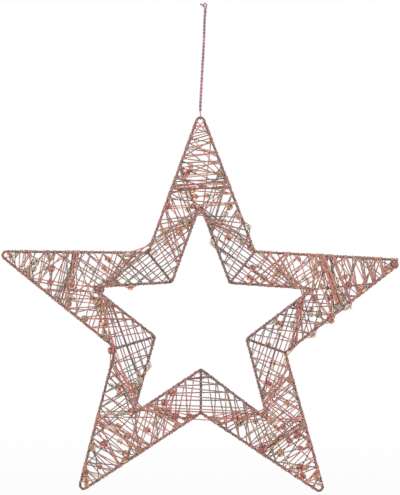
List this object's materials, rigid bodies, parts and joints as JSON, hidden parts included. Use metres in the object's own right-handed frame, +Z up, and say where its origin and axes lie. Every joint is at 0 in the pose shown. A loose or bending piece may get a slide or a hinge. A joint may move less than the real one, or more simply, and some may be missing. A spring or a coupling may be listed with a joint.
{
  "type": "christmas star",
  "caption": "Flat hanging star of bent wire, an open inner star held in an outer one by struts, laced with metallic thread that carries loose glass beads, on a twisted hanging thread.",
  "frame": {"origin": "inside top of the hanging eye, where it rests on its nail", "axes": "+Z up, the star lies in the XZ plane, its front faces -Y and +X is to the right seen from the front"},
  "size_m": [0.4015, 0.0129, 0.4949],
  "materials": {
    "wire": "dull rose-bronze lacquered steel wire",
    "hanging_thread": "twisted mauve metallic yarn",
    "pink_thread": "metallic yarn with a pink glint",
    "copper_thread": "metallic yarn with a copper glint",
    "grey_thread": "metallic yarn, grey-brown",
    "gold_bead": "glossy gold-brown glass",
    "copper_bead": "glossy copper-orange glass",
    "cream_bead": "glossy cream glass",
    "red_bead": "glossy rose-red glass",
    "green_bead": "glossy pale green glass"
  },
  "bodies": {
    "eye": {"hanging_eye": "hanging_thread"},
    "thread": {"hanging_thread": "hanging_thread"},
    "hitch": {"apex_hitch": "grey_thread"},
    "star": {"outer_star_wire": "wire", "inner_star_wire": "wire", "upper_left_strut": "wire", "left_strut": "wire", "bottom_strut": "wire", "right_strut": "wire", "upper_right_strut": "wire", "top_left_band_lacing": "pink_thread", "top_left_fan_lacing": "copper_thread", "top_right_band_lacing": "grey_thread", "top_right_fan_lacing": "pink_thread", "top_tip_lacing": "copper_thread", "upper_left_notch_lacing": "grey_thread", "left_left_band_lacing": "pink_thread", "left_left_fan_lacing": "copper_thread", "left_right_band_lacing": "grey_thread", "left_right_fan_lacing": "pink_thread", "left_tip_lacing": "copper_thread", "left_notch_lacing": "grey_thread", "lower_left_left_band_lacing": "pink_thread", "lower_left_left_fan_lacing": "copper_thread", "lower_left_right_band_lacing": "grey_thread", "lower_left_right_fan_lacing": "pink_thread", "lower_left_tip_lacing": "copper_thread", "bottom_notch_lacing": "grey_thread", "lower_right_left_band_lacing": "pink_thread", "lower_right_left_fan_lacing": "copper_thread", "lower_right_right_band_lacing": "grey_thread", "lower_right_right_fan_lacing": "pink_thread", "lower_right_tip_lacing": "copper_thread", "right_notch_lacing": "grey_thread", "right_left_band_lacing": "pink_thread", "right_left_fan_lacing": "copper_thread", "right_right_band_lacing": "grey_thread", "right_right_fan_lacing": "pink_thread", "right_tip_lacing": "copper_thread", "upper_right_notch_lacing": "grey_thread"},
    "top_bead_1": {"top_bead_1": "copper_bead"},
    "top_bead_2": {"top_bead_2": "red_bead"},
    "top_bead_3": {"top_bead_3": "gold_bead"},
    "top_bead_4": {"top_bead_4": "cream_bead"},
    "left_bead_1": {"left_bead_1": "gold_bead"},
    "left_bead_2": {"left_bead_2": "cream_bead"},
    "left_bead_3": {"left_bead_3": "gold_bead"},
    "left_bead_4": {"left_bead_4": "copper_bead"},
    "lower_left_bead_1": {"lower_left_bead_1": "red_bead"},
    "lower_left_bead_2": {"lower_left_bead_2": "cream_bead"},
    "lower_left_bead_3": {"lower_left_bead_3": "green_bead"},
    "lower_left_bead_4": {"lower_left_bead_4": "copper_bead"},
    "lower_right_bead_1": {"lower_right_bead_1": "gold_bead"},
    "lower_right_bead_2": {"lower_right_bead_2": "red_bead"},
    "lower_right_bead_3": {"lower_right_bead_3": "copper_bead"},
    "lower_right_bead_4": {"lower_right_bead_4": "cream_bead"},
    "right_bead_1": {"right_bead_1": "copper_bead"},
    "right_bead_2": {"right_bead_2": "gold_bead"},
    "right_bead_3": {"right_bead_3": "cream_bead"},
    "right_bead_4": {"right_bead_4": "green_bead"}
  },
  "joints": [
    {"name": "thread_swing", "type": "hinge", "parent": "eye", "child": "thread", "pos_m": [0, 0, -0.0073], "axis": [0, 1, 0], "range_deg": [-60, 60]},
    {"name": "thread_twist", "type": "hinge", "parent": "thread", "child": "hitch", "pos_m": [-0.005, 0, -0.1052], "axis": [0, 0, 1], "continuous": true},
    {"name": "star_swing", "type": "hinge", "parent": "hitch", "child": "star", "pos_m": [-0.005, 0, -0.115], "axis": [1, 0, 0], "range_deg": [-90, 90]},
    {"name": "top_bead_1_slide", "type": "slide", "parent": "star", "child": "top_bead_1", "axis": [0.9933, 0, 0.1154], "range_m": [-0.005, 0.005]},
    {"name": "top_bead_2_slide", "type": "slide", "parent": "star", "child": "top_bead_2", "axis": [0.9963, 0, 0.0865], "range_m": [-0.005, 0.005]},
    {"name": "top_bead_3_slide", "type": "slide", "parent": "star", "child": "top_bead_3", "axis": [0.4002, 0, -0.9164], "range_m": [-0.003, 0.003]},
    {"name": "top_bead_4_slide", "type": "slide", "parent": "star", "child": "top_bead_4", "axis": [0.3323, 0, 0.9432], "range_m": [-0.003, 0.003]},
    {"name": "left_bead_1_slide", "type": "slide", "parent": "star", "child": "left_bead_1", "axis": [0.145, 0, 0.9894], "range_m": [-0.005, 0.005]},
    {"name": "left_bead_2_slide", "type": "slide", "parent": "star", "child": "left_bead_2", "axis": [-0.4517, 0, -0.8921], "range_m": [-0.005, 0.005]},
    {"name": "left_bead_3_slide", "type": "slide", "parent": "star", "child": "left_bead_3", "axis": [0.7334, 0, -0.6798], "range_m": [-0.003, 0.003]},
    {"name": "left_bead_4_slide", "type": "slide", "parent": "star", "child": "left_bead_4", "axis": [1, 0, 0.0039], "range_m": [-0.003, 0.003]},
    {"name": "lower_left_bead_1_slide", "type": "slide", "parent": "star", "child": "lower_left_bead_1", "axis": [-0.8956, 0, 0.4448], "range_m": [-0.005, 0.005]},
    {"name": "lower_left_bead_2_slide", "type": "slide", "parent": "star", "child": "lower_left_bead_2", "axis": [-0.8628, 0, 0.5055], "range_m": [-0.005, 0.005]},
    {"name": "lower_left_bead_3_slide", "type": "slide", "parent": "star", "child": "lower_left_bead_3", "axis": [0.1628, 0, 0.9867], "range_m": [-0.003, 0.003]},
    {"name": "lower_left_bead_4_slide", "type": "slide", "parent": "star", "child": "lower_left_bead_4", "axis": [-0.8091, 0, -0.5877], "range_m": [-0.003, 0.003]},
    {"name": "lower_right_bead_1_slide", "type": "slide", "parent": "star", "child": "lower_right_bead_1", "axis": [-0.6998, 0, -0.7143], "range_m": [-0.005, 0.005]},
    {"name": "lower_right_bead_2_slide", "type": "slide", "parent": "star", "child": "lower_right_bead_2", "axis": [-0.751, 0, -0.6603], "range_m": [-0.005, 0.005]},
    {"name": "lower_right_bead_3_slide", "type": "slide", "parent": "star", "child": "lower_right_bead_3", "axis": [-0.2492, 0, 0.9684], "range_m": [-0.003, 0.003]},
    {"name": "lower_right_bead_4_slide", "type": "slide", "parent": "star", "child": "lower_right_bead_4", "axis": [0.8658, 0, -0.5003], "range_m": [-0.003, 0.003]},
    {"name": "right_bead_1_slide", "type": "slide", "parent": "star", "child": "right_bead_1", "axis": [-0.1911, 0, 0.9816], "range_m": [-0.005, 0.005]},
    {"name": "right_bead_2_slide", "type": "slide", "parent": "star", "child": "right_bead_2", "axis": [0.3635, 0, -0.9316], "range_m": [-0.005, 0.005]},
    {"name": "right_bead_3_slide", "type": "slide", "parent": "star", "child": "right_bead_3", "axis": [-0.7713, 0, -0.6365], "range_m": [-0.003, 0.003]},
    {"name": "right_bead_4_slide", "type": "slide", "parent": "star", "child": "right_bead_4", "axis": [0.9997, 0, -0.024], "range_m": [-0.003, 0.003]}
  ]
}
